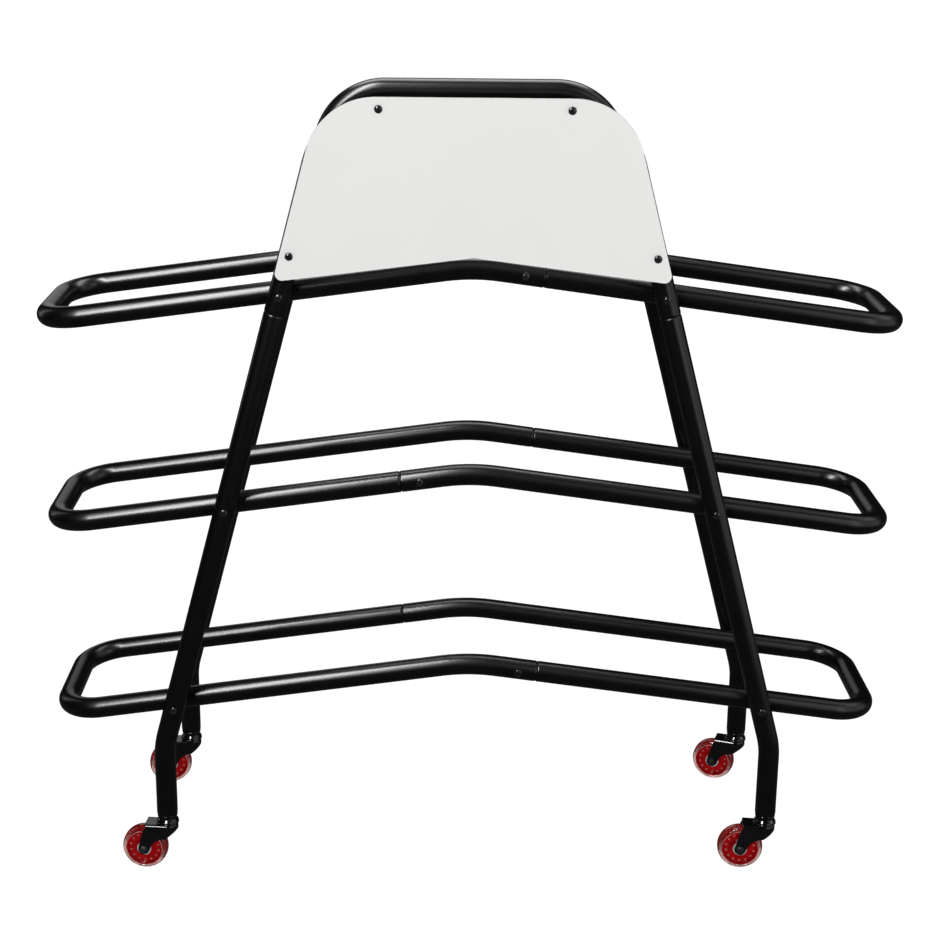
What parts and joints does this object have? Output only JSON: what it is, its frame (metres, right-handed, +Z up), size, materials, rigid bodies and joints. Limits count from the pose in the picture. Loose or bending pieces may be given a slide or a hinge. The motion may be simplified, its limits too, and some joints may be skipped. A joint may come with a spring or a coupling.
{
  "type": "ball cart",
  "caption": "Rolling tube cart with sloping ball tiers on leaning legs, a hoop over each side, a flat front panel and swivel casters.",
  "frame": {"origin": "on the floor, under the middle of the cart's bounding box", "axes": "+X along the tiers, +Y away from the front panel, +Z up"},
  "size_m": [1.27, 0.357, 1.1837],
  "materials": {
    "powder_coated_tube": "semi-gloss black powder coat",
    "blackened_fasteners": "black oxide button heads",
    "white_panel": "satin white sheet",
    "caster_steel": "gloss black coated pressed steel",
    "blackened_axle": "black oxide axle bolt and locknut",
    "red_wheel_core": "clear red moulding",
    "clear_tyre": "clear polyurethane",
    "bearing_steel": "ground steel"
  },
  "bodies": {
    "frame": {"tier_top_left_tube": "powder_coated_tube", "tier_top_right_tube": "powder_coated_tube", "tier_middle_left_tube": "powder_coated_tube", "tier_middle_right_tube": "powder_coated_tube", "tier_bottom_left_tube": "powder_coated_tube", "tier_bottom_right_tube": "powder_coated_tube", "leg_front_left": "powder_coated_tube", "leg_front_right": "powder_coated_tube", "leg_rear_left": "powder_coated_tube", "leg_rear_right": "powder_coated_tube", "hoop_front": "powder_coated_tube", "hoop_rear": "powder_coated_tube", "front_panel": "white_panel", "panel_screw_top_left": "blackened_fasteners", "panel_screw_top_right": "blackened_fasteners", "panel_screw_bottom_left": "blackened_fasteners", "panel_screw_bottom_right": "blackened_fasteners", "bolt_top_front_left": "blackened_fasteners", "bolt_top_front_right": "blackened_fasteners", "bolt_top_rear_left": "blackened_fasteners", "bolt_top_rear_right": "blackened_fasteners", "bolt_middle_front_left": "blackened_fasteners", "bolt_middle_front_right": "blackened_fasteners", "bolt_middle_rear_left": "blackened_fasteners", "bolt_middle_rear_right": "blackened_fasteners", "bolt_bottom_front_left": "blackened_fasteners", "bolt_bottom_front_right": "blackened_fasteners", "bolt_bottom_rear_left": "blackened_fasteners", "bolt_bottom_rear_right": "blackened_fasteners", "tier_top_joint_screw_front": "blackened_fasteners", "tier_top_joint_screw_rear": "blackened_fasteners", "tier_middle_joint_screw_front": "blackened_fasteners", "tier_middle_joint_screw_rear": "blackened_fasteners", "tier_bottom_joint_screw_front": "blackened_fasteners", "tier_bottom_joint_screw_rear": "blackened_fasteners", "caster_front_left_stem": "caster_steel", "caster_front_right_stem": "caster_steel", "caster_rear_left_stem": "caster_steel", "caster_rear_right_stem": "caster_steel"},
    "fork_front_left": {"caster_front_left_fork": "caster_steel", "caster_front_left_axle": "blackened_axle"},
    "wheel_front_left": {"caster_front_left_wheel_core": "red_wheel_core", "caster_front_left_wheel_tyre": "clear_tyre", "caster_front_left_wheel_bearings": "bearing_steel"},
    "fork_front_right": {"caster_front_right_fork": "caster_steel", "caster_front_right_axle": "blackened_axle"},
    "wheel_front_right": {"caster_front_right_wheel_core": "red_wheel_core", "caster_front_right_wheel_tyre": "clear_tyre", "caster_front_right_wheel_bearings": "bearing_steel"},
    "fork_rear_left": {"caster_rear_left_fork": "caster_steel", "caster_rear_left_axle": "blackened_axle"},
    "wheel_rear_left": {"caster_rear_left_wheel_core": "red_wheel_core", "caster_rear_left_wheel_tyre": "clear_tyre", "caster_rear_left_wheel_bearings": "bearing_steel"},
    "fork_rear_right": {"caster_rear_right_fork": "caster_steel", "caster_rear_right_axle": "blackened_axle"},
    "wheel_rear_right": {"caster_rear_right_wheel_core": "red_wheel_core", "caster_rear_right_wheel_tyre": "clear_tyre", "caster_rear_right_wheel_bearings": "bearing_steel"}
  },
  "joints": [
    {"name": "swivel_front_left", "type": "hinge", "parent": "frame", "child": "fork_front_left", "pos_m": [-0.46101, -0.15584, 0.03501], "axis": [0, 0, 1], "continuous": true},
    {"name": "roll_front_left", "type": "hinge", "parent": "fork_front_left", "child": "wheel_front_left", "pos_m": [-0.49681, -0.15208, 0.03501], "axis": [0.1045, 0.9945, 0], "continuous": true},
    {"name": "swivel_front_right", "type": "hinge", "parent": "frame", "child": "fork_front_right", "pos_m": [0.46101, -0.15584, 0.03501], "axis": [0, 0, 1], "continuous": true},
    {"name": "roll_front_right", "type": "hinge", "parent": "fork_front_right", "child": "wheel_front_right", "pos_m": [0.4252, -0.15208, 0.03501], "axis": [0.1045, 0.9945, 0], "continuous": true},
    {"name": "swivel_rear_left", "type": "hinge", "parent": "frame", "child": "fork_rear_left", "pos_m": [-0.46101, 0.14426, 0.03501], "axis": [0, 0, 1], "continuous": true},
    {"name": "roll_rear_left", "type": "hinge", "parent": "fork_rear_left", "child": "wheel_rear_left", "pos_m": [-0.49666, 0.13925, 0.03501], "axis": [-0.1392, 0.9903, 0], "continuous": true},
    {"name": "swivel_rear_right", "type": "hinge", "parent": "frame", "child": "fork_rear_right", "pos_m": [0.46101, 0.14426, 0.03501], "axis": [0, 0, 1], "continuous": true},
    {"name": "roll_rear_right", "type": "hinge", "parent": "fork_rear_right", "child": "wheel_rear_right", "pos_m": [0.42718, 0.15657, 0.03501], "axis": [0.342, 0.9397, 0], "continuous": true}
  ]
}
